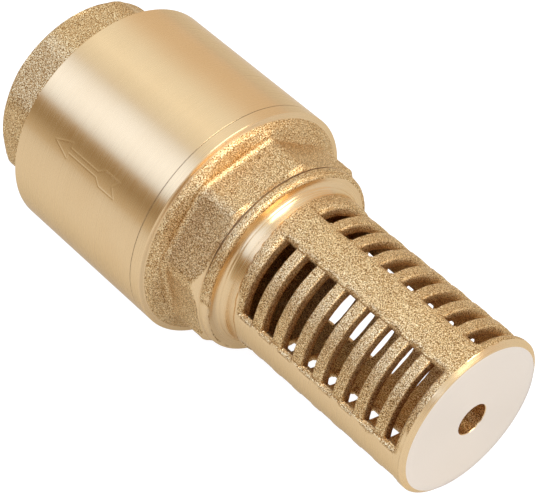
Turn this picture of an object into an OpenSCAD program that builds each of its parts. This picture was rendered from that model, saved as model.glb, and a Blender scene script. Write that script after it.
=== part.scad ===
// Spring-loaded brass foot valve with a screwed-in strainer, for a 1 inch suction pipe.
// The axis is +X: the outlet face is at x = 0 and the strainer's end face at x = overall_len.
// Each part is drawn along its own z, which laid_down() turns to +X.
// Angles round the axis start at +Z and grow towards -Y.

/* [Body] */
// Length from the outlet face to the strainer's end face
overall_len = 107; // [106:0.5:108]
// Radius of the turned body
body_r = 24; // [23.8:0.1:25]
// Distance across the flats of both cast octagons
octagon_af = 38; // [37.6:0.1:38.6]
// Length of the octagon at the outlet
outlet_boss_len = 10.5; // [10:0.1:11]
// Where the two halves of the body meet
joint_x = 44.7; // [44.5:0.1:45]
// Where the inlet octagon ends and the strainer's collar begins
inlet_face_x = 58; // [57.8:0.1:58.2]
// Angle of a corner of the outlet octagon
outlet_corner = 19; // [0:1:44]
// Angle of a corner of the inlet octagon
inlet_corner = 29; // [0:1:44]

/* [Pipe thread] */
// Wall radius of the outlet and inlet threads, a 1 inch parallel pipe thread at its major diameter
thread_r = 16.62; // [16.6:0.01:16.65]
// Depth of the outlet thread
outlet_thread_len = 13.5; // [13:0.1:14]

/* [Strainer] */
// Outer radius of the slotted basket
basket_r = 16.25; // [16.1:0.05:16.4]
// Wall of the basket
basket_wall = 2.2; // [2:0.1:2.4]
// Thickness of the closed end
end_wall = 2.4; // [2.2:0.1:2.6]
// Radius of the collar
collar_r = 19.45; // [19.2:0.05:20]
// Radius of the drain hole
drain_r = 3.2; // [2.8:0.1:3.4]
// Columns of slots round the basket
slot_columns = 4; // [3:4]
// Slots in each column
slots_per_column = 8; // [6:8]
// Distance from one slot to the next
slot_pitch = 5.165; // [5.1:0.005:5.2]
// Width of a slot at the outside
slot_mouth = 3.3; // [3:0.1:3.5]
// Width of a slot at the inside
slot_throat = 2.5; // [2.2:0.1:2.8]
// Angle of the first column of slots
column_angle = 50; // [0:1:89]

/* [Valve] */
// Radius of the bore under the seat
seat_bore_r = 12.5; // [12.3:0.1:12.7]
// Radius of the disc
disc_r = 16.5; // [16:0.1:17]
// Radius of the stem in the outlet guide
stem_r = 3; // [2.9:0.05:3.1]
// Radius of the stem below the disc
tail_r = 2.5; // [2.4:0.05:2.6]
// Radial clearance of the stem in its guides
running_gap = 0.06; // [0.05:0.01:0.08]
// Wire radius of the spring
wire_r = 0.55; // [0.5:0.05:0.6]
// Turns of the spring
spring_turns = 4; // [3.5:0.5:4]

/* [Arrow] */
// Angle of the flow arrow
arrow_angle = 55; // [40:1:70]
// Length of the flow arrow
arrow_len = 17.5; // [15:0.5:20]
// Width of the engraved line
arrow_line = 0.25; // [0.2:0.05:0.4]
// Depth of the engraved line
arrow_depth = 0.15; // [0.1:0.05:0.3]

/* [Hidden] */
$fn = 96;

brass = [0.80, 0.66, 0.42];
cast_brass = [0.72, 0.57, 0.34];
acetal = [0.93, 0.92, 0.88];
nitrile = [0.10, 0.10, 0.11];
steel = [0.72, 0.73, 0.74];

slack = 0.05;                                  // between parts that are screwed or pushed together
eps = 0.01;
octagon_corner_r = octagon_af / 2 / cos(22.5) - 0.12;
octagon_chamfer_r = 19.35;

// outlet half, from the outlet face inwards
outlet_mouth_r = thread_r + 0.8;
throat_r = 14;
guide_seat_x = 15;
guide_r = 16;
guide_end_x = 18;
chamber_r = 20.5;
chamber_x = 20.5;
body_thread_r = 22;
body_thread_x = 36;

// inlet half
seat_x = 35.5;
seat_lip_r = 14;
seat_root_r = 15.5;
spigot_x = 37;
o_ring_x = 39.2;
o_ring_section_r = 0.88;
o_ring_groove = 2.4;
o_ring_groove_r = 20.1;
rim_x = 47.1;
shoulder_x = 48.95;
inlet_step_x = 46.5;
inlet_mouth_r = thread_r + 0.8;

// moving parts, in the closed position
disc_back_x = 31;
gasket_x = 33.5;
gasket_r = 15.1;
retainer_r = 10.5;
retainer_end_x = 37;
nut_end_x = 41.7;
nut_af = 8;
stem_top_x = 16;
stem_tail_x = 54;
spring_seat_x = 17.8;
spring_r = 8.6;
cup_x = 30.2;

// strainer
spigot_start_x = 48;
strainer_spigot_r = thread_r - slack;
collar_end_x = 60.15;
neck_r = basket_r - 0.2;
neck_end_x = 63.2;
end_rim_r = 15.15;
end_rim_len = 0.8;
first_slot_from_end = 3.95;
slot_half_len = basket_r / 2;                  // each column spans 60 degrees
drain_offset = 0.5;

module laid_down() { rotate([0, 90, 0]) children(); }

// Turns children from local +X to the given angle round the axis
module at_angle(a) { rotate([0, 0, 180 + a]) children(); }

// A solid of revolution from [axial, radial] points
module turned(points) { rotate_extrude() polygon([for (p = points) [p[1], p[0]]]); }

module ring(x0, x1, r_in, r_out) { turned([[x0, r_in], [x1, r_in], [x1, r_out], [x0, r_out]]); }

// Cast octagon with blunted corners, from x0 to x1
module octagon(x0, x1, corner) {
    translate([0, 0, x0]) at_angle(corner) intersection() {
        linear_extrude(x1 - x0) circle(octagon_af / 2 / cos(22.5), $fn = 8);
        cylinder(r = octagon_corner_r, h = x1 - x0);
    }
}

module line_between(p, q) {
    d = q - p;
    translate(p) rotate(atan2(d[1], d[0])) translate([-arrow_line / 2, -arrow_line / 2])
        square([norm(d) + arrow_line, arrow_line]);
}

// Outline of the flow arrow, pointing along +X of the sketch
module arrow_outline() {
    head = arrow_len * 0.23;
    tail = arrow_len * 0.24;
    flare = arrow_len * 0.08;
    half = 1.7;
    shaft = 0.5;
    upper = [[arrow_len, 0], [arrow_len - head, half], [arrow_len - head, shaft],
             [tail + flare, shaft], [tail, half], [0, half], [flare, 0]];
    for (i = [0 : len(upper) - 2]) {
        line_between(upper[i], upper[i + 1]);
        line_between([upper[i][0], -upper[i][1]], [upper[i + 1][0], -upper[i + 1][1]]);
    }
}

module arrow_engraving() {
    arrow_start_x = 36.5;
    intersection() {
        ring(outlet_boss_len, joint_x, body_r - arrow_depth, body_r + 1);
        at_angle(arrow_angle) translate([0, 0, arrow_start_x]) rotate([0, 90, 0])
            linear_extrude(body_r + 2) arrow_outline();
    }
}

module outlet_body() {
    color(brass) laid_down() difference() {
        union() {
            intersection() {
                octagon(0, outlet_boss_len + eps, outlet_corner);
                turned([[0, 0], [0, octagon_chamfer_r], [1.4, octagon_chamfer_r + 1.4],
                        [outlet_boss_len + 1, octagon_chamfer_r + 1.4], [outlet_boss_len + 1, 0]]);
            }
            turned([[outlet_boss_len, 0], [outlet_boss_len, body_r - 0.25],
                    [outlet_boss_len + 0.25, body_r], [joint_x - 0.12, body_r],
                    [joint_x, body_r - 0.12], [joint_x, 0]]);
        }
        turned([[-1, 0], [-1, outlet_mouth_r], [0, outlet_mouth_r], [0.8, thread_r],
                [outlet_thread_len, thread_r], [outlet_thread_len, throat_r],
                [guide_seat_x, throat_r], [guide_seat_x, guide_r], [guide_end_x, guide_r],
                [chamber_x, chamber_r], [body_thread_x, chamber_r],
                [body_thread_x, body_thread_r], [joint_x + 1, body_thread_r], [joint_x + 1, 0]]);
        arrow_engraving();
    }
}

module inlet_end() {
    groove = o_ring_groove / 2;
    spigot_r = body_thread_r - slack;
    color(cast_brass) laid_down() difference() {
        union() {
            turned([[seat_x, 0], [seat_x, seat_lip_r], [spigot_x, seat_root_r],
                    [spigot_x, spigot_r - 1], [spigot_x + 1, spigot_r],
                    [o_ring_x - groove, spigot_r], [o_ring_x - groove, o_ring_groove_r],
                    [o_ring_x + groove, o_ring_groove_r], [o_ring_x + groove, spigot_r],
                    [joint_x, spigot_r], [joint_x, body_r - 0.12], [joint_x + 0.12, body_r],
                    [rim_x, body_r], [rim_x + 0.35, body_r - 1.1], [shoulder_x - 0.6, 22],
                    [shoulder_x - 0.15, 21], [shoulder_x, 19.6], [shoulder_x, 0]]);
            intersection() {
                octagon(shoulder_x - eps, inlet_face_x, inlet_corner);
                turned([[joint_x, 0], [joint_x, octagon_chamfer_r + 1.4],
                        [inlet_face_x - 1.4, octagon_chamfer_r + 1.4],
                        [inlet_face_x, octagon_chamfer_r], [inlet_face_x, 0]]);
            }
        }
        turned([[seat_x - 1, 0], [seat_x - 1, seat_bore_r], [inlet_step_x, seat_bore_r],
                [inlet_step_x, thread_r], [inlet_face_x - 0.8, thread_r],
                [inlet_face_x, inlet_mouth_r], [inlet_face_x + 1, inlet_mouth_r],
                [inlet_face_x + 1, 0]]);
    }
}

module body_o_ring() {
    color(nitrile) laid_down() translate([0, 0, o_ring_x])
        rotate_extrude() translate([21.03, 0]) circle(o_ring_section_r, $fn = 24);
}

// Three-armed guide: an outer ring, a hub on the axis and the arms between them
module spider(x0, x1, ring_in, ring_out, hub_x0, hub_x1, hub_r, bore_r, turn) {
    difference() {
        union() {
            ring(x0, x1, ring_in, ring_out);
            ring(hub_x0, hub_x1, bore_r, hub_r);
            for (a = [0, 120, 240]) at_angle(turn + a) translate([hub_r - 0.5, -1.25, x0])
                cube([ring_in + 0.5 - hub_r + 0.5, 2.5, x1 - x0]);
        }
        translate([0, 0, hub_x0 - 1]) cylinder(r = bore_r, h = hub_x1 - hub_x0 + 2);
    }
}

module outlet_guide() {
    color(acetal) laid_down() union() {
        spider(guide_seat_x, spring_seat_x - 0.3, 13.6, guide_r - slack, 13.7, 20.5, 5.5,
               stem_r + running_gap, 10);
        ring(guide_seat_x, spring_seat_x, 7.4, 9.8);
    }
}

module inlet_guide() {
    color(acetal) laid_down()
        spider(inlet_step_x, spigot_start_x, seat_bore_r, thread_r - 0.4, 43.5, 49.5, 4.8,
               tail_r + running_gap, 40);
}

module stem() {
    color(steel) laid_down()
        turned([[stem_top_x, 0], [stem_top_x, stem_r - 0.5], [stem_top_x + 0.5, stem_r],
                [disc_back_x, stem_r], [disc_back_x, tail_r], [stem_tail_x - 0.5, tail_r],
                [stem_tail_x, tail_r - 0.5], [stem_tail_x, 0]]);
}

module valve_disc() {
    color(brass) laid_down()
        turned([[disc_back_x, tail_r + slack], [disc_back_x, disc_r - 0.6],
                [disc_back_x + 0.6, disc_r], [gasket_x + 0.8, disc_r],
                [gasket_x + 0.8, gasket_r + slack], [gasket_x, gasket_r + slack],
                [gasket_x, tail_r + slack]]);
}

module seat_gasket() {
    color(nitrile) laid_down() ring(gasket_x, seat_x, tail_r + slack, gasket_r);
}

module gasket_retainer() {
    color(steel) laid_down()
        turned([[seat_x, tail_r + slack], [seat_x, retainer_r], [retainer_end_x - 0.3, retainer_r],
                [retainer_end_x, retainer_r - 0.3], [retainer_end_x, tail_r + slack]]);
}

// Hexagon nut with a plain collar for its locking ring
module stem_nut() {
    hex_end_x = nut_end_x - 1;
    color(steel) laid_down() difference() {
        union() {
            translate([0, 0, retainer_end_x])
                linear_extrude(hex_end_x - retainer_end_x) circle(nut_af / 2 / cos(30), $fn = 6);
            ring(hex_end_x - eps, nut_end_x, tail_r, nut_af / 2 - 0.3);
        }
        translate([0, 0, retainer_end_x - 1]) cylinder(r = tail_r + 0.02, h = 8);
    }
}

// Flanged cup that centres the spring on the disc
module spring_cup() {
    color(steel) laid_down()
        turned([[cup_x - 2, stem_r + 0.1], [disc_back_x, stem_r + 0.1], [disc_back_x, 10],
                [cup_x, 10], [cup_x, 7.6], [cup_x - 2, 7.6]]);
}

// Round wire wound along the axis, with its end turns closed up
function coil_rise(t) = t < 0.12 ? 0.5 * t * t / 0.12
    : t > 0.88 ? 0.88 - 0.5 * (1 - t) * (1 - t) / 0.12 : t - 0.06;

module spring() {
    rings_per_turn = 24;
    sides = 10;
    rings = spring_turns * rings_per_turn;
    x0 = spring_seat_x + wire_r + 0.02;
    rise = cup_x - spring_seat_x - 2 * wire_r - 0.04;
    points = [for (i = [0 : rings]) let (a = 360 * i / rings_per_turn, x = x0 + rise * coil_rise(i / rings) / 0.88)
        for (k = [0 : sides - 1]) let (b = 360 * k / sides, r = spring_r + wire_r * cos(b))
            [r * cos(a), r * sin(a), x + wire_r * sin(b)]];
    skin = [for (i = [0 : rings - 1], k = [0 : sides - 1]) let (j = (k + 1) % sides)
        [i * sides + k, i * sides + j, (i + 1) * sides + j, (i + 1) * sides + k]];
    ends = [[for (k = [sides - 1 : -1 : 0]) k], [for (k = [0 : sides - 1]) rings * sides + k]];
    color(steel) laid_down() polyhedron(points, concat(skin, ends));
}

// Tapered cutter for one slot, centred on z = 0 and pulled outwards along +X
module slot_cutter() {
    inner_r = basket_r - basket_wall - 2.5;
    outer_r = basket_r + 1;
    taper = (slot_mouth - slot_throat) / 2 / basket_wall;
    throat = slot_throat / 2 - 2.5 * taper;
    mouth = slot_mouth / 2 + taper;
    end_taper = 0.25;
    reach_in = slot_half_len - 4.2 * end_taper;
    reach_out = slot_half_len + 1.6 * end_taper;
    intersection() {
        translate([0, 20, 0]) rotate([90, 0, 0]) linear_extrude(40)
            polygon([[inner_r, -throat], [outer_r, -mouth], [outer_r, mouth], [inner_r, throat]]);
        translate([0, 0, -5]) linear_extrude(10)
            polygon([[inner_r - 4, -reach_in], [outer_r, -reach_out],
                     [outer_r, reach_out], [inner_r - 4, reach_in]]);
    }
}

module strainer() {
    inner_r = basket_r - basket_wall;
    end_x = overall_len;
    color(cast_brass) laid_down() difference() {
        turned([[spigot_start_x, inner_r], [spigot_start_x, strainer_spigot_r - 0.8],
                [spigot_start_x + 0.8, strainer_spigot_r], [inlet_face_x, strainer_spigot_r],
                [inlet_face_x, collar_r - 0.35], [inlet_face_x + 0.35, collar_r],
                [collar_end_x - 0.3, collar_r], [collar_end_x, collar_r - 0.3],
                [collar_end_x, neck_r], [neck_end_x, neck_r], [neck_end_x + 0.2, basket_r],
                [end_x - end_rim_len, basket_r], [end_x, end_rim_r], [end_x, 0],
                [end_x - end_wall, 0], [end_x - end_wall, inner_r]]);
        for (c = [0 : slot_columns - 1], i = [0 : slots_per_column - 1])
            at_angle(column_angle + c * 360 / slot_columns)
                translate([0, 0, end_x - first_slot_from_end - i * slot_pitch]) slot_cutter();
        at_angle(column_angle + 180) translate([drain_offset, 0, end_x - end_wall - 1])
            cylinder(r = drain_r, h = end_wall + 2);
    }
}

outlet_body();
inlet_end();
body_o_ring();
outlet_guide();
inlet_guide();
stem();
valve_disc();
seat_gasket();
gasket_retainer();
stem_nut();
spring_cup();
spring();
strainer();
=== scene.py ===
import math
import bmesh
import bpy
import numpy as np
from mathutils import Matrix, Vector


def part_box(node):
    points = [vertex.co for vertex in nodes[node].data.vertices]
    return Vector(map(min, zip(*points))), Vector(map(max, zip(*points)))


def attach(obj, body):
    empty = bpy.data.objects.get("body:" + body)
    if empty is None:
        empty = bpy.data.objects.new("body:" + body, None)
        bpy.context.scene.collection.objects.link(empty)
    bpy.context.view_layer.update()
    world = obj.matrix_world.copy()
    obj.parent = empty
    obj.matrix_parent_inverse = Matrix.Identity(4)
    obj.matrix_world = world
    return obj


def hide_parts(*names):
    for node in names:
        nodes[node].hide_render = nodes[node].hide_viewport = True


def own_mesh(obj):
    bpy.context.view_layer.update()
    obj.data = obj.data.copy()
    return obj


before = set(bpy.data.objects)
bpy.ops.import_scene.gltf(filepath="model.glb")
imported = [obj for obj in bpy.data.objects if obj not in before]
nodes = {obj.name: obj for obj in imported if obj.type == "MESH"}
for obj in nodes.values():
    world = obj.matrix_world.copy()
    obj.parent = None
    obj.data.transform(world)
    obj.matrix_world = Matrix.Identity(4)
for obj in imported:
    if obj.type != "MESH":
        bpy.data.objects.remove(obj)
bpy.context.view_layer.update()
print("frame loaded:", len(nodes), "CAD nodes")

# Lengths are in millimetres, and are turned to metres where Blender takes them.
# The valve's axis is +X. Angles round it are in degrees, from +Z towards -Y.


def extent(node):
    # first x, last x and outer radius of a CAD node
    low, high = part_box(node)
    return low.x * 1000, high.x * 1000, high.z * 1000


def hexColour(code):
    # sRGB hex to the linear colour that nodes take
    shares = [int(code[i:i + 2], 16) / 255 for i in (1, 3, 5)]
    linear = [c / 12.92 if c <= 0.04045 else ((c + 0.055) / 1.055) ** 2.4 for c in shares]
    return (*linear, 1.0)


def addNode(tree, kind, inputs=None, stops=None, **settings):
    # one node with its settings; an input is a value or another node's output
    node = tree.nodes.new(kind)
    for name, value in settings.items():
        setattr(node, name, value)
    for socket, value in (inputs or {}).items():
        if isinstance(value, bpy.types.NodeSocket):
            tree.links.new(value, node.inputs[socket])
        else:
            node.inputs[socket].default_value = value
    for i, (place, colour) in enumerate(stops or []):
        ramp = node.color_ramp.elements
        stop = ramp[i] if i < 2 else ramp.new(place)
        stop.position = place
        stop.color = colour if len(colour) == 4 else (*colour, 1.0)
    return node


def startMaterial(name, metallic, **sockets):
    # a Principled material; sockets are the values that are the same all over
    material = bpy.data.materials.new(name)
    material.use_nodes = True
    tree = material.node_tree
    shader = tree.nodes["Principled BSDF"]
    shader.inputs["Metallic"].default_value = metallic
    for socket, value in sockets.items():
        shader.inputs[socket.replace("_", " ")].default_value = value
    return material, tree, shader


def feed(tree, shader, **outputs):
    for socket, output in outputs.items():
        tree.links.new(output, shader.inputs[socket.replace("_", " ")])


def perMillimetre(size):
    # noise scale for features of that many millimetres, on coordinates in metres
    return 1000 / size


brassEdgeTint = "#F8EBD2"      # brass stays golden where it is seen almost edge on
turnedLook = {
    "colour": "#DDBA89",
    "paleColour": "#E3C394",
    "roughness": (0.20, 0.30),
    "ringPitch": 0.14,       # feed of the finishing cut
    "ringHeight": 0.0012,
    "ringStrength": 0.25,
    "ringContrast": (0.3, 0.7),
    "stainSize": 9.0,
}


def turnedBrass():
    # CW617N brass, finish-turned: bright, with highlights drawn out along the axis by fine rings
    look = turnedLook
    material, tree, shader = startMaterial("brassFineTurned", 1.0, Anisotropic=0.8,
                                           Anisotropic_Rotation=0.25,
                                           Specular_Tint=hexColour(brassEdgeTint))
    place = addNode(tree, "ShaderNodeTexCoord").outputs["Object"]
    along = addNode(tree, "ShaderNodeSeparateXYZ", {0: place})
    across = addNode(tree, "ShaderNodeCombineXYZ", {"Y": along.outputs["Y"], "Z": along.outputs["Z"]})
    radius = addNode(tree, "ShaderNodeVectorMath", {0: across.outputs[0]}, operation="LENGTH")
    ringPlace = addNode(tree, "ShaderNodeCombineXYZ",
                        {"X": along.outputs["X"], "Y": radius.outputs["Value"]})
    rings = addNode(tree, "ShaderNodeTexNoise", {"Vector": ringPlace.outputs[0], "Detail": 2.0,
                                                 "Scale": perMillimetre(look["ringPitch"])})
    stain = addNode(tree, "ShaderNodeTexNoise",
                    {"Vector": place, "Scale": perMillimetre(look["stainSize"]), "Detail": 3.0})
    tone = addNode(tree, "ShaderNodeMix", {"Factor": stain.outputs["Fac"], "A": hexColour(look["colour"]),
                                           "B": hexColour(look["paleColour"])}, data_type="RGBA")
    low, high = look["roughness"]
    faint, strong = look["ringContrast"]
    dull = addNode(tree, "ShaderNodeMapRange", {"Value": rings.outputs["Fac"], "From Min": faint,
                                                "From Max": strong, "To Min": low, "To Max": high})
    bump = addNode(tree, "ShaderNodeBump", {"Height": rings.outputs["Fac"], "Strength": look["ringStrength"],
                                            "Distance": look["ringHeight"] / 1000})
    tangent = addNode(tree, "ShaderNodeTangent", direction_type="RADIAL", axis="X")
    feed(tree, shader, Base_Color=tone.outputs["Result"], Roughness=dull.outputs["Result"],
         Normal=bump.outputs["Normal"], Tangent=tangent.outputs["Tangent"])
    return material


facedLook = {
    # paler than the turned brass: painted sheen of the flat faces mirroring the pale floor
    "colour": "#EBDAC4",
    "paleColour": "#EFE0CC",
    "roughness": 0.34,
    "ringPitch": 0.16,
    "ringHeight": 0.0010,
    "ringStrength": 0.25,
}


def facedBrassPaintedSheen():
    # the same brass faced off flat, with an even sheen and faint circles; its paler colour is painted sheen
    # of the pale floor it mirrors
    look = facedLook
    material, tree, shader = startMaterial("brassFacedOffPaintedSheen", 1.0, Roughness=look["roughness"],
                                           Anisotropic=0.5, Anisotropic_Rotation=0.25)
    place = addNode(tree, "ShaderNodeTexCoord").outputs["Object"]
    along = addNode(tree, "ShaderNodeSeparateXYZ", {0: place})
    across = addNode(tree, "ShaderNodeCombineXYZ", {"Y": along.outputs["Y"], "Z": along.outputs["Z"]})
    radius = addNode(tree, "ShaderNodeVectorMath", {0: across.outputs[0]}, operation="LENGTH")
    ringPlace = addNode(tree, "ShaderNodeCombineXYZ", {"X": radius.outputs["Value"]})
    rings = addNode(tree, "ShaderNodeTexNoise", {"Vector": ringPlace.outputs[0], "Detail": 1.0,
                                                 "Scale": perMillimetre(look["ringPitch"])})
    tone = addNode(tree, "ShaderNodeMix", {"Factor": rings.outputs["Fac"], "A": hexColour(look["colour"]),
                                           "B": hexColour(look["paleColour"])}, data_type="RGBA")
    bump = addNode(tree, "ShaderNodeBump", {"Height": rings.outputs["Fac"], "Strength": look["ringStrength"],
                                            "Distance": look["ringHeight"] / 1000})
    tangent = addNode(tree, "ShaderNodeTangent", direction_type="RADIAL", axis="X")
    feed(tree, shader, Base_Color=tone.outputs["Result"], Normal=bump.outputs["Normal"],
         Tangent=tangent.outputs["Tangent"])
    return material


castLook = {
    # the grain's dark pits are painted shade and its bright specks painted glints, round the cast brass's
    # own colour
    "pitShadeColour": "#4C2B0D",
    "colour": "#CFA063",
    "glintColour": "#FFF0C4",
    "grainContrast": (0.39, 0.5, 0.61),  # grit values of those three
    "machinedColour": "#DDBB8A",
    # darker tint for the inside of the wall: painted shade
    "insideShadeTint": "#EED6B6",
    "grit": 0.19,            # shot grain
    "gritHeight": 0.055,
    "blotch": 6.0,
    "blotchTint": (0.94, 0.86, 0.74, 1),
    "roughness": 0.42,
    "machinedRoughness": 0.27,
}


def castBrass():
    # cast brass, shot blasted: a sparkling grain; the lathe has skimmed some of it smooth,
    # and deeper inside the wall its colour is darkened, which is painted shade of the strainer's inside
    look = castLook
    material, tree, shader = startMaterial("brassCastBlasted", 1.0, Specular_Tint=hexColour(brassEdgeTint))
    place = addNode(tree, "ShaderNodeTexCoord").outputs["Object"]
    machined = addNode(tree, "ShaderNodeAttribute", attribute_name="machined").outputs["Fac"]
    inside = addNode(tree, "ShaderNodeAttribute", attribute_name="inside").outputs["Fac"]
    grit = addNode(tree, "ShaderNodeTexNoise", {"Vector": place, "Scale": perMillimetre(look["grit"]),
                                                "Detail": 3.0, "Roughness": 0.7})
    blotch = addNode(tree, "ShaderNodeTexNoise", {"Vector": place, "Scale": perMillimetre(look["blotch"]),
                                                  "Detail": 2.0})
    pit, middle, glint = look["grainContrast"]
    # grain tone: painted shade in the pits and painted glints on the peaks, on the brass's own colour
    grainShadeAndGlint = addNode(tree, "ShaderNodeValToRGB", {"Fac": grit.outputs["Fac"]},
                        stops=[(pit, hexColour(look["pitShadeColour"])), (glint, hexColour(look["glintColour"])),
                               (middle, hexColour(look["colour"]))])
    warm = addNode(tree, "ShaderNodeMix", {"Factor": blotch.outputs["Fac"], "A": look["blotchTint"],
                                           "B": (1, 1, 1, 1)}, data_type="RGBA")
    stained = addNode(tree, "ShaderNodeMix", {"Factor": 1.0, "A": grainShadeAndGlint.outputs["Color"],
                                              "B": warm.outputs["Result"]}, data_type="RGBA",
                      blend_type="MULTIPLY")
    # darkened towards the inside of the wall: painted shade
    shadedInside = addNode(tree, "ShaderNodeMix", {"Factor": inside, "A": stained.outputs["Result"],
                                           "B": hexColour(look["insideShadeTint"])}, data_type="RGBA",
                   blend_type="MULTIPLY")
    tone = addNode(tree, "ShaderNodeMix", {"Factor": machined, "A": shadedInside.outputs["Result"],
                                           "B": hexColour(look["machinedColour"])}, data_type="RGBA")
    dull = addNode(tree, "ShaderNodeMapRange", {"Value": machined, "To Min": look["roughness"],
                                                "To Max": look["machinedRoughness"]})
    roughShare = addNode(tree, "ShaderNodeMath", {0: 1.0, 1: machined}, operation="SUBTRACT")
    height = addNode(tree, "ShaderNodeMath", {0: grit.outputs["Fac"], 1: roughShare.outputs[0]},
                     operation="MULTIPLY")
    bump = addNode(tree, "ShaderNodeBump", {"Height": height.outputs[0], "Strength": 1.0,
                                            "Distance": look["gritHeight"] / 1000})
    feed(tree, shader, Base_Color=tone.outputs["Result"], Roughness=dull.outputs["Result"],
         Normal=bump.outputs["Normal"])
    return material


# bump is its strength and height
nitrileLook = {"colour": "#1C1B1B", "wornColour": "#2A2827", "roughness": (0.5, 0.65), "grain": 0.25,
               "bump": (0.3, 0.01)}
acetalLook = {"colour": "#EDEAE0", "shadeColour": "#DDD8CA", "roughness": (0.3, 0.42), "grain": 0.8,
              "bump": (0.15, 0.02)}
stainlessLook = {"colour": "#C9C7C2", "shadeColour": "#B4B2AE", "roughness": (0.2, 0.34), "mark": 0.12,
                 "bump": (0.2, 0.005)}
wireLook = {"colour": "#B9B7B3", "shadeColour": "#96948F", "roughness": (0.22, 0.36), "mark": 0.08,
            "bump": (0.2, 0.005)}


def nitrileRubber():
    # moulded nitrile: near black and matt, with a faint bloom
    look = nitrileLook
    material, tree, shader = startMaterial("nitrileMoulded", 0.0)
    place = addNode(tree, "ShaderNodeTexCoord").outputs["Object"]
    grain = addNode(tree, "ShaderNodeTexNoise", {"Vector": place, "Scale": perMillimetre(look["grain"])})
    tone = addNode(tree, "ShaderNodeMix", {"Factor": grain.outputs["Fac"], "A": hexColour(look["colour"]),
                                           "B": hexColour(look["wornColour"])}, data_type="RGBA")
    low, high = look["roughness"]
    dull = addNode(tree, "ShaderNodeMapRange", {"Value": grain.outputs["Fac"], "To Min": low,
                                                "To Max": high})
    strength, height = look["bump"]
    bump = addNode(tree, "ShaderNodeBump", {"Height": grain.outputs["Fac"], "Strength": strength,
                                            "Distance": height / 1000})
    feed(tree, shader, Base_Color=tone.outputs["Result"], Roughness=dull.outputs["Result"],
         Normal=bump.outputs["Normal"])
    return material


def acetalPlastic():
    # white acetal, injection moulded: waxy satin with soft flow marks
    look = acetalLook
    material, tree, shader = startMaterial("acetalMoulded", 0.0, IOR=1.48)
    place = addNode(tree, "ShaderNodeTexCoord").outputs["Object"]
    flow = addNode(tree, "ShaderNodeTexNoise", {"Vector": place, "Scale": perMillimetre(look["grain"]),
                                                "Detail": 3.0})
    tone = addNode(tree, "ShaderNodeMix", {"Factor": flow.outputs["Fac"], "A": hexColour(look["colour"]),
                                           "B": hexColour(look["shadeColour"])}, data_type="RGBA")
    low, high = look["roughness"]
    dull = addNode(tree, "ShaderNodeMapRange", {"Value": flow.outputs["Fac"], "To Min": low,
                                                "To Max": high})
    strength, height = look["bump"]
    bump = addNode(tree, "ShaderNodeBump", {"Height": flow.outputs["Fac"], "Strength": strength,
                                            "Distance": height / 1000})
    feed(tree, shader, Base_Color=tone.outputs["Result"], Roughness=dull.outputs["Result"],
         Normal=bump.outputs["Normal"])
    return material


def stainlessSteel(name, look):
    # stainless steel, turned or drawn to wire: a cool sheen, broken up by fine uneven tool marks
    material, tree, shader = startMaterial(name, 1.0)
    place = addNode(tree, "ShaderNodeTexCoord").outputs["Object"]
    marks = addNode(tree, "ShaderNodeTexNoise", {"Vector": place, "Scale": perMillimetre(look["mark"]),
                                                 "Detail": 2.0})
    tone = addNode(tree, "ShaderNodeMix", {"Factor": marks.outputs["Fac"],
                                           "A": hexColour(look["shadeColour"]),
                                           "B": hexColour(look["colour"])}, data_type="RGBA")
    low, high = look["roughness"]
    dull = addNode(tree, "ShaderNodeMapRange", {"Value": marks.outputs["Fac"], "To Min": low,
                                                "To Max": high})
    strength, height = look["bump"]
    bump = addNode(tree, "ShaderNodeBump", {"Height": marks.outputs["Fac"], "Strength": strength,
                                            "Distance": height / 1000})
    feed(tree, shader, Base_Color=tone.outputs["Result"], Roughness=dull.outputs["Result"],
         Normal=bump.outputs["Normal"])
    return material


brassTurned = turnedBrass()
brassCast = castBrass()
brassFaced = facedBrassPaintedSheen()
finishMaterials = {"turned": brassTurned, "cast": brassCast, "faced": brassFaced}
nitrile = nitrileRubber()
acetal = acetalPlastic()
stainless = stainlessSteel("stainlessTurned", stainlessLook)
springWire = stainlessSteel("stainlessDrawnWire", wireLook)
print("materials made")


def latticeNoise(points, cell, seed):
    # smooth random field from -1 to 1, with one random value at each corner of a cell of that size;
    # the long numbers only scramble a corner's place into its value
    spot = points / cell
    low = np.floor(spot).astype(np.int64)
    part = spot - low
    part = part * part * (3 - 2 * part)
    total = np.zeros(len(points))
    for corner in range(8):
        step = np.array([corner & 1, corner >> 1 & 1, corner >> 2 & 1])
        key = (low + step) @ np.array([73856093, 19349663, 83492791]) + seed * 92821
        key = ((key ^ (key >> 15)) * 1103515245) & 0x7FFFFFFF
        key = ((key ^ (key >> 11)) * 668265263) & 0x7FFFFFFF
        weight = np.prod(np.where(step == 1, part, 1 - part), axis=1)
        total += weight * (key / 0x3FFFFFFF - 1)
    return total


def smoothStep(value, low, high):
    part = np.clip((value - low) / (high - low), 0, 1)
    return part * part * (3 - 2 * part)


def layRows(stations, last, shareRadius=0):
    # stations are (x, share, radius, finish of the stretch after it, longest step), and the stretches
    # are cut into rows of (x, share, radius); a whole share adds shareRadius to the radius
    rows = []
    finishes = []
    for here, there in zip(stations, [*stations[1:], last]):
        start = np.array(here[:3])
        span = np.array(there[:3]) - start
        length = math.hypot(span[0], span[2] + span[1] * shareRadius)
        count = max(1, math.ceil(length / here[4]))
        rows += [start + span * k / count for k in range(count)]
        finishes += [here[3]] * count
    return rows, finishes


def arcStations(x, radius, bend, start, end, finish, share=0, parts=6, step=9):
    # stations on an arc of radius bend about (x, radius), angles from +x towards growing radius
    turns = [math.radians(start + (end - start) * k / parts) for k in range(parts + 1)]
    return [(x + bend * math.cos(t), share, radius + bend * math.sin(t), finish, step) for t in turns]


def roundTheAxis(x, radius, angle):
    # point from x, radius and angle in degrees
    turn = np.radians(angle)
    return np.stack([x + 0 * turn, -radius * np.sin(turn), radius * np.cos(turn)], axis=-1)


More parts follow.
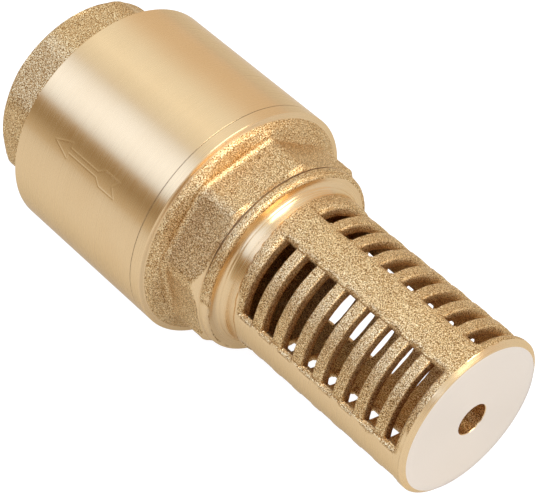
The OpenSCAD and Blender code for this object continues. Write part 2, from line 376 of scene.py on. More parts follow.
def gridFaces(rowCount, columnCount):
    # quads of a grid that closes on itself both ways
    row, column = np.meshgrid(np.arange(rowCount), np.arange(columnCount), indexing="ij")
    nextRow = (row + 1) % rowCount
    nextColumn = (column + 1) % columnCount
    quads = [row * columnCount + column, nextRow * columnCount + column,
             nextRow * columnCount + nextColumn, row * columnCount + nextColumn]
    return np.stack(quads, axis=-1).reshape(-1, 4)


def writeMesh(name, points, faces):
    mesh = bpy.data.meshes.new(name)
    mesh.vertices.add(len(points))
    mesh.loops.add(faces.size)
    mesh.polygons.add(len(faces))
    mesh.vertices.foreach_set("co", (points / 1000).astype(np.float32).ravel())
    mesh.loops.foreach_set("vertex_index", faces.astype(np.int32).ravel())
    mesh.polygons.foreach_set("loop_start", np.arange(0, faces.size, faces.shape[1], dtype=np.int32))
    mesh.update(calc_edges=True)
    return mesh


def faceOutwards(mesh, closeHoles=False):
    work = bmesh.new()
    work.from_mesh(mesh)
    if closeHoles:
        bmesh.ops.holes_fill(work, edges=work.edges)
    bmesh.ops.recalc_face_normals(work, faces=work.faces)
    work.to_mesh(mesh)
    work.free()


neverCut = 999               # radius where the lathe has left the casting alone
insideShadeFade = 0.9          # over which the painted shade of the inside sets in, going deeper


def makePiece(name, points, faces, finishes, castShare, surface, limits, insideShadeRadius=0):
    # castShare says how rough each point is; limits gives the radius that the lathe leaves there;
    # points deeper than the last argument's radius take a darker tint, which is painted shade of the inside
    mesh = writeMesh(name, points, faces)
    faceOutwards(mesh)
    normals = np.zeros(len(points) * 3, np.float32)
    mesh.vertex_normals.foreach_get("vector", normals)
    lumps = sum(height * latticeNoise(points, cell, seed)
                for seed, (cell, height) in enumerate(surface["lumps"]))
    points = points + normals.reshape(-1, 3) * (lumps * castShare)[:, None]
    radius = np.hypot(points[:, 1], points[:, 2])
    angle = np.degrees(np.arctan2(-points[:, 1], points[:, 2]))
    limit = limits(points[:, 0], angle, radius)
    machined = smoothStep(radius - limit, -surface["feather"], surface["feather"]) * (castShare > 0)
    shrink = np.minimum(radius, limit) / np.maximum(radius, 0.01)
    points[:, 1:] *= shrink[:, None]
    mesh.vertices.foreach_set("co", (points / 1000).astype(np.float32).ravel())
    mesh.attributes.new("machined", "FLOAT", "POINT").data.foreach_set("value", machined.astype(np.float32))
    # painted shade: darker deeper inside the wall
    inside = 1 - smoothStep(np.hypot(points[:, 1], points[:, 2]), insideShadeRadius - insideShadeFade, insideShadeRadius)
    inside *= insideShadeRadius > 0
    mesh.attributes.new("inside", "FLOAT", "POINT").data.foreach_set("value", inside.astype(np.float32))
    names = list(finishMaterials)
    finishes = np.array([names.index(f) for f in finishes], np.int32)
    whollyCut = machined[faces].min(axis=1) > 0.99
    finishes[whollyCut] = names.index("turned")
    for finish in names:
        mesh.materials.append(finishMaterials[finish])
    mesh.polygons.foreach_set("material_index", finishes)
    mesh.polygons.foreach_set("use_smooth", np.ones(len(finishes), bool))
    mesh.set_sharp_from_angle(angle=math.radians(surface["sharpAngle"]))
    mesh.update()
    piece = bpy.data.objects.new(name, mesh)
    bpy.context.scene.collection.objects.link(piece)
    return piece


octagonLook = {
    "flatRadius": 19.0,
    "endRadius": 19.3,       # the casting rounds off to a circle at its end face
    "endLength": 0.8,        # over which it does so
    "chamferRadius": 18.8,   # where the 45 degree chamfer meets the end face
    "chamferLength": 2.5,    # the most it can take up
    "chamferInner": 18,
    "lowSide": 85,           # the castings sit off centre towards this side, so the lathe cuts most there
    "offCentre": 2.2,
}
castSurface = {
    "lumps": [(3.5, 0.05), (1.1, 0.03), (0.6, 0.02)],  # cell and height
    "feather": 0.012,
    "sharpAngle": 40,
}


def octagonRadius(angle, corner, rounding):
    # radius of the blunted octagon at each angle; corner is the angle of one corner
    flat = octagonLook["flatRadius"]
    side = 360 / 8
    off = np.radians((angle - corner + side / 2) % side - side / 2)
    half = math.radians(side / 2)
    centre = (flat - rounding) / math.cos(half)
    onFlat = flat / np.cos(half - np.abs(off))
    onCorner = centre * np.cos(off) + np.sqrt(np.maximum(rounding ** 2 - (centre * np.sin(off)) ** 2, 0))
    edge = math.atan2(rounding * math.sin(half), centre + rounding * math.cos(half))
    return np.where(np.abs(off) < edge, onCorner, onFlat)


def chamferLimit(x, angle, radius, faceX):
    # radius that the turned chamfer leaves beside the end face
    look = octagonLook
    away = np.abs(x - faceX)
    aside = look["offCentre"] * (1 - np.cos(np.radians(angle - look["lowSide"])))
    near = (away < look["chamferLength"]) & (radius > look["chamferInner"])
    return np.where(near, look["chamferRadius"] + away + aside, neverCut)


def roughness(finishes):
    # a row is rough where the stretches on both sides of it are cast
    rough = np.array([finish == "cast" for finish in finishes])
    return (rough & np.roll(rough, 1)).astype(float)


def revolve(stations, angles, look):
    # points, faces, finish of each face and roughness of each point of a turned or octagonal piece;
    # a station's share is how much of the octagon's own radius goes into its radius
    rows, finishes = layRows(stations, stations[0], octagonLook["flatRadius"])
    rows = np.array(rows)
    octagon = octagonRadius(angles, look["corner"], look["cornerRounding"])
    radius = rows[:, 1:2] * octagon + rows[:, 2:3]
    points = roundTheAxis(rows[:, 0:1], radius, angles[None, :] + 0 * radius)
    faces = gridFaces(len(rows), len(angles))
    castShare = np.repeat(roughness(finishes), len(angles))
    faceFinishes = np.repeat(finishes, len(angles))
    return points.reshape(-1, 3), faces, list(faceFinishes), castShare


outletLook = {
    "columns": 344,
    "corner": 19,
    "cornerRounding": 7.0,
    "bossEnd": 10.5,
    "cove": 0.7,
    "rimBreak": 0.25,
    "jointBreak": 0.03,
    "mouthRadius": 17.42,
    "mouthDepth": 0.8,
    "threadRadius": 16.62,
    "threadEnd": 13.5,
    "threadPitch": 25.4 / 11,
    "threadDepth": 1.42,
    "threadFlank": (0.06, 0.94),     # the turn's height rises between these shares of half its pitch
    "threadRunIn": (0.8, 2.2),
    "threadRunOut": (11.5, 13.2),
    "bore": [(13.5, 14), (15, 14), (15, 16), (18, 16), (20.5, 20.5), (36, 20.5), (36, 22)],
    "arrowAngle": 55,
    "arrowTip": 19.0,
    "arrowLength": 17.5,
    "arrowHalfWidth": 1.7,
    "arrowShaft": 0.55,
    "arrowParts": (0.23, 0.24, 0.08),    # head, tail and its slant, as shares of the length
    "arrowDepth": 0.028,
    "arrowLine": 0.1,
    "arrowMargin": (0.5, 0.4),       # how far the closer rows and columns go past it
    "arrowStep": 0.14,
    "arrowColumns": 37,
}


def arrowDistance(x, side, look):
    # distance from each point to the arrow's outline; side is the distance round the body
    head, tail, slant = [share * look["arrowLength"] for share in look["arrowParts"]]
    half = look["arrowHalfWidth"]
    shaft = look["arrowShaft"]
    long = look["arrowLength"]
    outline = [(0, 0), (head, half), (head, shaft), (long - tail - slant, shaft),
               (long - tail, half), (long, half), (long - slant, 0)]
    along = x - look["arrowTip"]
    side = np.abs(side)
    best = np.full(x.shape, np.inf)
    for (x0, y0), (x1, y1) in zip(outline, outline[1:]):
        dx, dy = x1 - x0, y1 - y0
        part = np.clip(((along - x0) * dx + (side - y0) * dy) / (dx * dx + dy * dy), 0, 1)
        best = np.minimum(best, np.hypot(along - x0 - part * dx, side - y0 - part * dy))
    return best


def outletColumns(look):
    # even columns, with closer ones under the arrow
    even = np.arange(look["columns"]) * 360 / look["columns"]
    reach = math.degrees((look["arrowHalfWidth"] + look["arrowMargin"][1]) / extent("outlet_body")[2])
    away = np.abs((even - look["arrowAngle"] + 180) % 360 - 180) > reach
    close = look["arrowAngle"] + np.linspace(-reach, reach, look["arrowColumns"])
    return np.sort(np.concatenate([even[away], close]))


def makeOutletBody():
    look = outletLook
    firstX, lastX, bodyRadius = extent("outlet_body")
    boss = look["bossEnd"]
    cove = look["cove"]
    margin = look["arrowMargin"][0]
    jointBreak = look["jointBreak"]
    arc = arcStations(boss - cove, cove, cove, -90, 0, "cast", share=1)
    stations = [(firstX, 0, look["mouthRadius"], "faced", 0.6),
                (firstX, 0, octagonLook["endRadius"], "cast", 0.14),
                (firstX + octagonLook["endLength"], 1, 0, "cast", 0.3),
                *arc[:-1],
                (*arc[-1][:4], 0.35),
                (boss, 0, bodyRadius - look["rimBreak"], "turned", 1),
                (boss + look["rimBreak"], 0, bodyRadius, "turned", 9),
                (look["arrowTip"] - margin, 0, bodyRadius, "turned", look["arrowStep"]),
                (look["arrowTip"] + look["arrowLength"] + margin, 0, bodyRadius, "turned", 9),
                (lastX - jointBreak, 0, bodyRadius, "turned", 1),
                (lastX, 0, bodyRadius - jointBreak, "turned", 1),
                (lastX, 0, look["bore"][-1][1], "turned", 9)]
    stations += [(x, 0, radius, "turned", 9) for x, radius in reversed(look["bore"])]
    stations += [(look["threadEnd"], 0, look["threadRadius"], "turned", 0.25),
                 (firstX + look["mouthDepth"], 0, look["threadRadius"], "turned", 1)]
    points, faces, faceFinishes, castShare = revolve(stations, outletColumns(look), look)
    radius = np.hypot(points[:, 1], points[:, 2])
    angle = np.degrees(np.arctan2(-points[:, 1], points[:, 2]))
    # engraved arrow
    onSkin = radius > bodyRadius - 0.05
    side = np.radians((angle - look["arrowAngle"] + 180) % 360 - 180) * bodyRadius
    gap = arrowDistance(points[:, 0], side, look)
    groove = look["arrowDepth"] * np.exp(-(gap / look["arrowLine"]) ** 2) * onSkin
    # thread turns, faded at both ends of the thread
    onThread = np.abs(radius - look["threadRadius"]) < 0.01
    turn = points[:, 0] / look["threadPitch"] - angle / 360
    ridge = 1 - 2 * np.abs(turn % 1 - 0.5)
    fade = smoothStep(points[:, 0], *look["threadRunIn"])
    fade *= 1 - smoothStep(points[:, 0], *look["threadRunOut"])
    thread = look["threadDepth"] * smoothStep(ridge, *look["threadFlank"]) * fade * onThread
    points[:, 1:] *= (1 - (groove + thread) / radius)[:, None]

    def limits(x, angle, radius):
        return chamferLimit(x, angle, radius, firstX)

    piece = makePiece("outletBodySkin", points, faces, faceFinishes, castShare, castSurface, limits)
    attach(piece, "valve")
    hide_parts("outlet_body")


makeOutletBody()
print("outlet body made")


inletLook = {
    "columns": 520,
    "corner": 29,
    "cornerRounding": 3.4,
    "jointX": 44.7,
    "jointRadius": 21.95,
    "jointGap": (0.13, 0.6), # width and depth of the line between the two halves
    # x, depth below the body's radius, finish of the stretch after it, longest step
    "shoulder": [(47.05, 0, "turned", 1), (47.13, 0.08, "turned", 0.4), (47.45, 1.1, "cast", 0.25),
                 (48.2, 1.9, "cast", 0.28)],
    "octagonX": 48.95,
    "cove": 1.1,
    "inside": [(57.2, 16.62), (46.5, 16.62), (46.5, 12.5), (35.5, 12.5), (35.5, 14), (37, 15.5), (37, 20.95),
               (38, 21.95), (38, 20.1), (40.4, 20.1), (40.4, 21.95)],
    "mouthRadius": 17.42,
}


def makeInletEnd():
    look = inletLook
    lastX, bodyRadius = extent("inlet_end")[1:]
    joint = look["jointX"]
    gapWidth, gapDepth = look["jointGap"]
    cove = look["cove"]
    arc = arcStations(look["octagonX"] + cove, cove, cove, 180, 270, "cast", share=1)
    stations = [(joint, 0, look["jointRadius"], "turned", 9),
                (joint, 0, bodyRadius - gapDepth, "turned", 1),
                (joint + gapWidth, 0, bodyRadius - gapDepth, "turned", 1),
                (joint + gapWidth, 0, bodyRadius, "turned", 9),
                *[(x, 0, bodyRadius - depth, finish, step) for x, depth, finish, step in look["shoulder"]],
                *arc[:-1],
                (*arc[-1][:4], 0.27),
                (lastX - octagonLook["endLength"], 1, 0, "cast", 0.12),
                (lastX, 0, octagonLook["endRadius"], "faced", 0.6),
                (lastX, 0, look["mouthRadius"], "turned", 1)]
    stations += [(x, 0, radius, "turned", 9) for x, radius in look["inside"]]
    angles = np.arange(look["columns"]) * 360 / look["columns"]
    points, faces, faceFinishes, castShare = revolve(stations, angles, look)

    def limits(x, angle, radius):
        return chamferLimit(x, angle, radius, lastX)

    piece = makePiece("inletEndSkin", points, faces, faceFinishes, castShare, castSurface, limits)
    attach(piece, "valve")
    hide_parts("inlet_end")


makeInletEnd()
print("inlet end made")


strainerLook = {
    "basketRadius": 16.25,
    "wall": 2.2,
    "endWall": 2.4,
    "spigotRadius": 16.57,
    "spigotChamfer": 0.8,
    "collarStart": 58.0,
    # how far from its start, depth below its radius, finish of the stretch after it, longest step
    "collarBack": [(0, 1.2, "turned", 1), (0.35, 1.1, "turned", 1), (0.42, 0.1, "cast", 0.15),
                   (0.5, 0, "cast", 0.2)],
    "collarEnd": 60.15,
    "collarRadius": 19.45,
    "collarRounding": 1.0,
    "neckRadius": 16.05,
    "neckFillet": 1.9,
    "neckPasses": [(180, 221), (229, 270)],  # angles of the fillet that each pass of the tool has cut
    "toolLine": 0.07,        # ridge that the two passes have left between them
    "neckEnd": 62.1,
    "neckWander": (63.1, 1.2, 30),  # where the casting starts: mean x, swing, angle of the mean
    "rimRadius": 15.15,
    "rimLength": 0.8,
    "drainRadius": 3.2,
    "drainBreak": 0.12,
    "drainOffset": 0.5,
    "drainAngle": 230,
    "slotColumns": 4,
    "slotRows": 8,
    "slotPitch": 5.165,
    "alongSteps": 34,        # faces along and across a slot
    "acrossSteps": 7,
    "barSteps": (22, 14, 10),        # faces over the first bar, the others and the end
    "bandStep": 0.55,
    "firstSlot": 3.95,       # from the closed end
    "slotMouth": 1.32,       # half widths
    "slotThroat": 1.22,
    "columnAngle": 50,
    "slotReach": 30.3,       # half the angle that a slot spans, outside and inside the wall
    "slotReachInside": 32.9,
    "edgeRounding": (1.25, 1.15),    # of the bars: over their width, and down into the slot
    "edgeFade": 0.3,         # over which the rounding ends
    "ledge": (0.6, 0.8),     # sloping ledge at each end of a slot: depth and length
    "barRecess": (0.42, 0.16),       # how much lower the bars lie than the bands, and the step's width
    "skim": (115, 50, 0.3),  # where the lathe has skimmed the casting: middle, reach each way, depth
    "collarSkim": (132, 52, 0.5),
    "insideShadeDepth": 1.2,        # deeper than this, the inside takes painted shade
}
strainerSurface = {
    "lumps": [(3.0, 0.04), (1.1, 0.03), (0.62, 0.03)],
    "feather": 0.012,
    "sharpAngle": 42,
}
edgeSteps = [0, 0.06, 0.15, 0.28, 0.46, 0.72]


def edgeSpacing(start, end, step):
    # places from start to end, closer at both ends, without the last
    middle = np.linspace(start + edgeSteps[-1], end - edgeSteps[-1],
                         max(2, math.ceil((end - start - 2 * edgeSteps[-1]) / step) + 1))
    first = [start + e for e in edgeSteps[:-1]]
    last = [end - e for e in reversed(edgeSteps[1:-1])]
    return [*first, *middle, *last]


def basketPlaces(look, lastX, half):
    # x of each row of the basket, and for each slot the first and last row
    centres = [lastX - look["firstSlot"] - i * look["slotPitch"] for i in reversed(range(look["slotRows"]))]
    places = []
    slots = []
    start = look["neckEnd"] + 0.2
    firstBar, otherBars, endBar = look["barSteps"]
    for centre in centres:
        places += list(start + (centre - half - start) * barSpread(otherBars if places else firstBar))
        slots.append((len(places), len(places) + look["acrossSteps"]))
        places += list(np.linspace(centre - half, centre + half, look["acrossSteps"] + 1)[:-1])
        start = centre + half
    places += list(start + (lastX - look["rimLength"] - start) * barSpread(endBar))
    return np.array(places), slots


def barSpread(count):
    # shares of the way over a bar, closer together at its edges
    even = np.linspace(0, 1, count + 1)
    eased = (1 - np.cos(even * math.pi)) / 2
    return (eased * 0.75 + even * 0.25)[:-1]


def basketColumns(look):
    # angles of the columns outside and inside the wall, and for each slot the first and last column
    reach = look["slotReach"]
    inner = look["slotReachInside"]
    pitch = 360 / look["slotColumns"]
    band = math.radians(pitch - 2 * reach) * look["basketRadius"]
    bandPlaces = np.array(edgeSpacing(0, band, look["bandStep"])) / band
    outside = []
    inside = []
    slots = []
    for column in range(look["slotColumns"]):
        centre = look["columnAngle"] + column * pitch
        slots.append((len(outside), len(outside) + look["alongSteps"]))
        slotPlaces = np.linspace(-1, 1, look["alongSteps"] + 1)[:-1]
        outside += [*(centre + reach * slotPlaces), *(centre + reach + (pitch - 2 * reach) * bandPlaces)]
        inside += [*(centre + inner * slotPlaces), *(centre + inner + (pitch - 2 * inner) * bandPlaces)]
    return np.array(outside), np.array(inside), slots


def strainerStations(look, firstX, lastX):
    # stations before and after the basket; their share is that of the inside angles
    inner = look["basketRadius"] - look["wall"]
    spigot = look["spigotRadius"]
    start = look["collarStart"]
    collar = look["collarRadius"]
    neck = look["neckRadius"]
    end = lastX - look["endWall"]
    drain = look["drainRadius"]
    before = [(firstX, 1, inner, "turned", 2),
              (firstX, 0, spigot - look["spigotChamfer"], "turned", 2),
              (firstX + look["spigotChamfer"], 0, spigot, "turned", 12),
              (start, 0, spigot, "turned", 5)]
    before += [(start + x, 0, collar - depth, finish, step) for x, depth, finish, step in look["collarBack"]]
    bend = look["collarRounding"]
    before += arcStations(look["collarEnd"] - bend, collar - bend, bend, 90, 0, "cast", step=0.2)[:-1]
    before += [(look["collarEnd"], 0, collar - bend, "turned", 0.5)]
    fillet = look["neckFillet"]
    centre = (look["collarEnd"] + fillet, neck + fillet)
    (firstAngle, ridgeStart), (ridgeEnd, lastAngle) = look["neckPasses"]
    ridge = arcStations(*centre, fillet - look["toolLine"], (ridgeStart + ridgeEnd) / 2, ridgeEnd, "turned",
                        parts=1, step=1)
    before += arcStations(*centre, fillet, firstAngle, ridgeStart, "turned", parts=5, step=1)
    before += ridge[:1]
    before += arcStations(*centre, fillet, ridgeEnd, lastAngle, "turned", parts=5, step=1)
    before += [(look["neckEnd"], 0, neck, "cast", 0.15)]
    after = [(lastX - look["rimLength"], 0, look["basketRadius"], "turned", 0.3),
             (lastX, 0, look["rimRadius"], "faced", 1.2),
             (lastX, 0, drain + look["drainBreak"], "turned", 1),
             (lastX - look["drainBreak"], 0, drain, "cast", 0.3),
             (end, 0.5, drain, "cast", 1.0),
             (end, 1, inner - 0.5, "cast", 0.3),
             (end - 0.15, 1, inner - 0.15, "cast", 0.3)]
    return before, after


def windowRing(rowIds, columnIds, columnCount):
    # grid points round one window, in order
    around = [(rowIds[0], c) for c in columnIds]
    around += [(r, columnIds[-1]) for r in rowIds[1:]]
    around += [(rowIds[-1], c) for c in columnIds[-2::-1]]
    around += [(r, columnIds[0]) for r in rowIds[-2:0:-1]]
    return np.array([r * columnCount + c % columnCount for r, c in around])


def moveDrain(points, rows, look, lastX):
    # the drain hole sits a little off the axis
    nearEnd = rows[:, 0] > lastX - look["endWall"] - 0.2
    offset = np.clip((look["rimRadius"] - rows[:, 2]) / (look["rimRadius"] - look["drainRadius"]), 0, 1)
    offset = (offset * nearEnd * look["drainOffset"])[:, None]
    turn = math.radians(look["drainAngle"])
    points[:, :, 1] -= offset * math.sin(turn)
    points[:, :, 2] += offset * math.cos(turn)


def basketDip(x, angles, look, lastX):
    # how far the basket's outside lies below its radius: the slots' rounded edges and ledges, and bars
    # that are a little lower than the bands between the columns
    lastSlotX = lastX - look["firstSlot"]
    firstSlotX = lastSlotX - (look["slotRows"] - 1) * look["slotPitch"]
    slotPlace = np.clip(np.round((lastSlotX - x) / look["slotPitch"]), 0, look["slotRows"] - 1)
    rowOff = np.abs(lastSlotX - slotPlace * look["slotPitch"] - x)
    overX = np.maximum(rowOff - look["slotMouth"], 0)[:, None]
    pitch = 360 / look["slotColumns"]
    columnOff = (angles - look["columnAngle"] + pitch / 2) % pitch - pitch / 2
    overAround = np.radians(np.abs(columnOff)[None, :] - look["slotReach"]) * look["basketRadius"]
    bend, deep = look["edgeRounding"]
    fade = look["edgeFade"]
    near = np.clip(1 - overX / bend, 0, 1)
    rounding = deep * (1 - np.sqrt(1 - near ** 2)) * (1 - smoothStep(overAround, 0, fade))
    ledgeDepth, ledgeLength = look["ledge"]
    ledge = ledgeDepth * (1 - smoothStep(overAround, 0, ledgeLength)) * (1 - smoothStep(overX, 0, fade))
    recessDepth, recessEdge = look["barRecess"]
    between = ((x > firstSlotX) & (x < lastSlotX))[:, None]
    recess = recessDepth * (1 - smoothStep(overAround, 0, recessEdge)) * between
    return np.maximum(np.maximum(rounding, ledge), recess)


def skimmed(angle, skim):
    # depth of a concentric cut into a casting that sits off centre; below 0 it misses
    middle, reach, depth = skim
    return depth * (np.cos(np.radians(angle - middle)) - math.cos(math.radians(reach)))


def makeStrainer():
    look = strainerLook
    firstX, lastX = extent("strainer")[:2]
    basket = look["basketRadius"]
    inner = basket - look["wall"]
    outsideX, slotRows = basketPlaces(look, lastX, look["slotMouth"])
    # inside, the rows stop at the last slot, because the end wall is next
    insideX = basketPlaces(look, lastX, look["slotThroat"])[0][:slotRows[-1][1] + 1]
    outside, inside, slotColumns = basketColumns(look)
    before, after = strainerStations(look, firstX, lastX)
    rows, finishes = layRows(before, (outsideX[0], 0, basket))
    outsideStart = len(rows)
    rows += [np.array([x, 0, basket]) for x in outsideX]
    finishes += ["cast"] * len(outsideX)
    afterRows, afterFinishes = layRows(after, (insideX[-1], 1, inner))
    rows += afterRows
    insideStart = len(rows)
    rows += [np.array([x, 1, inner]) for x in insideX[::-1]]
    finishes += afterFinishes + ["cast"] * len(insideX)
    rows = np.array(rows)

    share = rows[:, 1:2]
    angles = outside[None, :] * (1 - share) + inside[None, :] * share
    points = roundTheAxis(rows[:, 0:1], rows[:, 2:3] + 0 * angles, angles)
    moveDrain(points, rows, look, lastX)
    onOutside = slice(outsideStart, outsideStart + len(outsideX))
    dip = basketDip(outsideX, outside, look, lastX)
    points[onOutside, :, 1:] *= ((basket - dip) / basket)[:, :, None]
    points = points.reshape(-1, 3)
    columnCount = len(outside)
    faces = gridFaces(len(rows), columnCount)
    faceFinishes = np.repeat(finishes, columnCount)
    castShare = np.repeat(roughness(finishes), columnCount)

    # leave out the faces over each slot, inside and outside, and join the two edges with walls
    keep = np.ones((len(rows), columnCount), bool)
    wallPoints = []
    wallFaces = []
    total = len(points)
    for firstRow, lastRow in slotRows:
        for firstColumn, lastColumn in slotColumns:
            columnIds = list(range(firstColumn, lastColumn + 1))
            outRows = [outsideStart + r for r in range(firstRow, lastRow + 1)]
            inRows = [insideStart + len(insideX) - 1 - r for r in range(firstRow, lastRow + 1)]
            keep[outRows[0]:outRows[-1], firstColumn:lastColumn] = False
            keep[inRows[-1]:inRows[0], firstColumn:lastColumn] = False
            rings = [windowRing(outRows, columnIds, columnCount)]
            innerRing = windowRing(inRows, columnIds, columnCount)
            for k in (0.25, 0.5, 0.75):
                wallPoints.append(points[rings[0]] * (1 - k) + points[innerRing] * k)
                rings.append(total + np.arange(len(innerRing)))
                total += len(innerRing)
            rings.append(innerRing)
            for one, two in zip(rings, rings[1:]):
                wallFaces.append(np.stack([one, two, np.roll(two, -1), np.roll(one, -1)], axis=-1))
    faces = np.concatenate([faces[keep.ravel()], *wallFaces])
    faceFinishes = list(faceFinishes[keep.ravel()]) + ["cast"] * sum(len(f) for f in wallFaces)
    points = np.concatenate([points, *wallPoints])
    castShare = np.concatenate([castShare, np.ones(len(points) - len(castShare))])

    def limits(x, angle, radius):
        bend = look["collarRounding"]
        over = np.clip(x - look["collarEnd"] + bend, 0, bend)
        collar = look["collarRadius"] - bend + np.sqrt(bend ** 2 - over ** 2)
        collar = collar - skimmed(angle, look["collarSkim"])
        meanX, swing, turn = look["neckWander"]
        castStart = meanX + swing * np.sin(np.radians(angle - turn))
        beyond = np.where(x < castStart, look["neckRadius"], basket - skimmed(angle, look["skim"]))
        return np.where(x < look["collarEnd"], collar, np.where(x < look["neckEnd"], neverCut, beyond))

    # the inside of the strainer takes painted shade
    piece = makePiece("strainerSkin", points, faces, faceFinishes, castShare, strainerSurface, limits,
                      basket - look["insideShadeDepth"])
    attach(piece, "valve")
    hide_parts("strainer")


makeStrainer()
print("strainer made")


springLook = {
    "meanRadius": 8.6,
    "wireRadius": 0.55,
    "turns": 4,
    "ringsPerTurn": 48,
    "sides": 14,
    "closedShare": 0.12,     # of its length at each end, where the turns close up
    "shortest": 5.34,        # length with the valve wide open
    "sharpAngle": 50,
}


def makeSpring():
    look = springLook
    firstX, lastX = extent("spring")[:2]
    wire = look["wireRadius"]
    rings = look["turns"] * look["ringsPerTurn"]
    t = np.linspace(0, 1, rings + 1)
    closed = look["closedShare"]
    rise = np.where(t < closed, 0.5 * t * t / closed, t - closed / 2)
    rise = np.where(t > 1 - closed, 1 - closed - 0.5 * (1 - t) ** 2 / closed, rise) / (1 - closed)
    x = firstX + wire + rise * (lastX - firstX - 2 * wire)
    turn = t * look["turns"] * 2 * math.pi
    side = np.arange(look["sides"]) * 2 * math.pi / look["sides"]
    radius = look["meanRadius"] + wire * np.cos(side)[None, :]
    points = np.stack([x[:, None] + wire * np.sin(side)[None, :],
                       radius * np.sin(turn)[:, None], -radius * np.cos(turn)[:, None]], axis=-1)
    quads = gridFaces(rings + 1, look["sides"])[:rings * look["sides"]]
    mesh = writeMesh("springCoil", points.reshape(-1, 3), quads)
    faceOutwards(mesh, closeHoles=True)
    mesh.polygons.foreach_set("use_smooth", np.ones(len(mesh.polygons), bool))
    mesh.set_sharp_from_angle(angle=math.radians(look["sharpAngle"]))
    mesh.materials.append(springWire)
    piece = bpy.data.objects.new("springCoil", mesh)
    bpy.context.scene.collection.objects.link(piece)
    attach(piece, "valve")
    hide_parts("spring")
    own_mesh(piece)


makeSpring()
print("spring made")


keptMaterials = {
    "body_o_ring": nitrile,
    "seat_gasket": nitrile,
    "outlet_guide": acetal,
    "inlet_guide": acetal,
    "stem": stainless,
    "gasket_retainer": stainless,
    "stem_nut": stainless,
    "spring_cup": stainless,
    "valve_disc": brassTurned,
}
for name, material in keptMaterials.items():
    nodes[name].data.materials.clear()
    nodes[name].data.materials.append(material)
print("kept pieces finished")


studioLook = {
    # what shines on the valve, by angle round its axis from +Z towards -Y: angle, tint, brightness
    "bands": [(-180, "#FFFFFF", 0.75), (-100, "#F4EEFF", 1.0), (-78, "#FFF6F0", 0.88), (-60, "#FFF6F0", 0.9),
              (-34, "#EAF3FF", 1.26), (-20, "#EAF3FF", 1.32), (-14, "#EAF3FF", 1.42), (-8, "#EAF3FF", 1.3),
              (4, "#EAF3FF", 1.18), (10, "#E6EEFF", 1.16), (14, "#CFDFFF", 1.6), (24, "#C5D8FF", 2.25),
              (36, "#C5D8FF", 2.45), (48, "#C5D8FF", 2.25), (55, "#C5D8FF", 1.75), (60, "#FFE9C8", 0.55),
              (65, "#FFE6BE", 0.4), (73, "#FFE6BE", 0.38), (80, "#FFF3E0", 0.54), (91, "#FFF3E0", 0.74),
              (104, "#FFFFFF", 0.95), (180, "#FFFFFF", 0.8)],
    "floorColour": "#898989",
    "floorGlow": 0.9,
    "floorColourSeenInBrass": "#A8A8A8",
    "floorGlowSeenInBrass": 0.40,
    "farSide": 0.72,         # the floor behind the valve is dimmer in the brass
    "farSideReach": (-50, 100),      # y where it starts to dim and where it has
    "floorSize": 3000,
    "backdrop": "#FBFBFB",
    "boxDirection": (0.62, 0.26, 0.74),
    "boxDistance": 900,
    "boxSize": (440, 1000),
    "boxBrightness": 4.4,
}


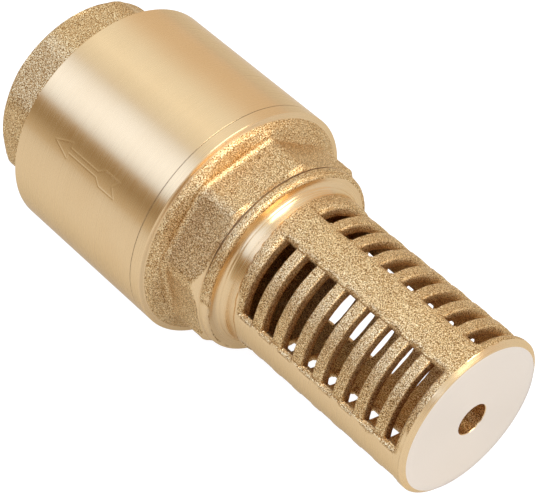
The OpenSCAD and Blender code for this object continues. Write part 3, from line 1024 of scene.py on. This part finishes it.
def makeStudio():
    look = studioLook
    scene = bpy.context.scene
    scene.view_settings.view_transform = "Standard"
    world = bpy.data.worlds.new("softStudio")
    scene.world = world
    world.use_nodes = True
    tree = world.node_tree
    tree.nodes.clear()
    direction = addNode(tree, "ShaderNodeTexCoord").outputs["Generated"]
    parts = addNode(tree, "ShaderNodeSeparateXYZ", {0: direction})
    front = addNode(tree, "ShaderNodeMath", {0: parts.outputs["Y"], 1: -1.0}, operation="MULTIPLY")
    angle = addNode(tree, "ShaderNodeMath", {0: front.outputs[0], 1: parts.outputs["Z"]},
                    operation="ARCTAN2")
    share = addNode(tree, "ShaderNodeMapRange", {"Value": angle.outputs[0], "From Min": -math.pi,
                                                 "From Max": math.pi})
    brightest = max(level for place, tint, level in look["bands"])
    stops = [((place + 180) / 360, [level / brightest * c for c in hexColour(tint)[:3]])
             for place, tint, level in look["bands"]]
    order = [stops[0], stops[-1], *stops[1:-1]]
    ramp = addNode(tree, "ShaderNodeValToRGB", {"Fac": share.outputs["Result"]}, stops=order)
    light = addNode(tree, "ShaderNodeBackground", {"Color": ramp.outputs["Color"], "Strength": brightest})
    plain = addNode(tree, "ShaderNodeBackground", {"Color": hexColour(look["backdrop"]), "Strength": 1.0})
    seen = addNode(tree, "ShaderNodeLightPath").outputs["Is Camera Ray"]
    mixed = addNode(tree, "ShaderNodeMixShader", {0: seen, 1: light.outputs[0], 2: plain.outputs[0]})
    addNode(tree, "ShaderNodeOutputWorld", {"Surface": mixed.outputs[0]})

    # paper that looks white from anywhere, and a little greyer where the brass mirrors it
    material, tree, shader = startMaterial("floorPaper", 0.0, Roughness=0.9, Specular_IOR_Level=0.0)
    seen = addNode(tree, "ShaderNodeLightPath").outputs["Is Camera Ray"]
    place = addNode(tree, "ShaderNodeTexCoord").outputs["Object"]
    place = addNode(tree, "ShaderNodeSeparateXYZ", {0: place})
    near, far = look["farSideReach"]
    behind = addNode(tree, "ShaderNodeMapRange", {"Value": place.outputs["Y"], "From Min": near / 1000,
                                                  "From Max": far / 1000, "To Max": look["farSide"],
                                                  "To Min": 1.0})
    dim = addNode(tree, "ShaderNodeMath", {0: behind.outputs[0], 1: look["floorGlowSeenInBrass"]},
                  operation="MULTIPLY")
    glow = addNode(tree, "ShaderNodeMix", {"Factor": seen, "A": dim.outputs[0], "B": look["floorGlow"]})
    tone = addNode(tree, "ShaderNodeMix", {"Factor": seen, "A": hexColour(look["floorColourSeenInBrass"]),
                                           "B": hexColour(look["floorColour"])}, data_type="RGBA")
    shader.inputs["Emission Color"].default_value = (1, 1, 1, 1)
    feed(tree, shader, Base_Color=tone.outputs["Result"], Emission_Strength=glow.outputs["Result"])
    low = -extent("outlet_body")[2]
    size = look["floorSize"]
    corners = np.array([[-size, -size, low], [size, -size, low], [size, size, low], [-size, size, low]])
    mesh = writeMesh("floor", corners, np.array([[0, 1, 2, 3]]))
    mesh.materials.append(material)
    floor = bpy.data.objects.new("floor", mesh)
    scene.collection.objects.link(floor)

    # the soft box over the strainer's end
    wide, high = look["boxSize"]
    lamp = bpy.data.lights.new("softBox", "AREA")
    lamp.shape = "RECTANGLE"
    lamp.size = wide / 1000
    lamp.size_y = high / 1000
    lamp.energy = look["boxBrightness"] * math.pi * lamp.size * lamp.size_y
    box = bpy.data.objects.new("softBox", lamp)
    away = Vector(look["boxDirection"]).normalized()
    box.location = (Vector(cameraLook["aim"]) + away * look["boxDistance"]) / 1000
    box.rotation_euler = away.to_track_quat("Z", "Y").to_euler()
    scene.collection.objects.link(box)


cameraLook = {
    "azimuth": 48.88,        # degrees, 0 looks along +Y
    "elevation": 47.99,
    "distance": 400,
    "aim": (57.5, -2.5, 4.0),
    "lens": 150.56,
}


def makeCamera():
    look = cameraLook
    turn, tilt = math.radians(look["azimuth"]), math.radians(look["elevation"])
    back = Vector((math.sin(turn) * math.cos(tilt), -math.cos(turn) * math.cos(tilt), math.sin(tilt)))
    camera = bpy.data.objects.new("camera", bpy.data.cameras.new("camera"))
    camera.data.lens = look["lens"]
    camera.data.clip_start = 0.01
    camera.location = (Vector(look["aim"]) + back * look["distance"]) / 1000
    camera.rotation_euler = back.to_track_quat("Z", "Y").to_euler()
    bpy.context.scene.collection.objects.link(camera)
    bpy.context.scene.camera = camera


makeStudio()
makeCamera()
print("studio and camera made")
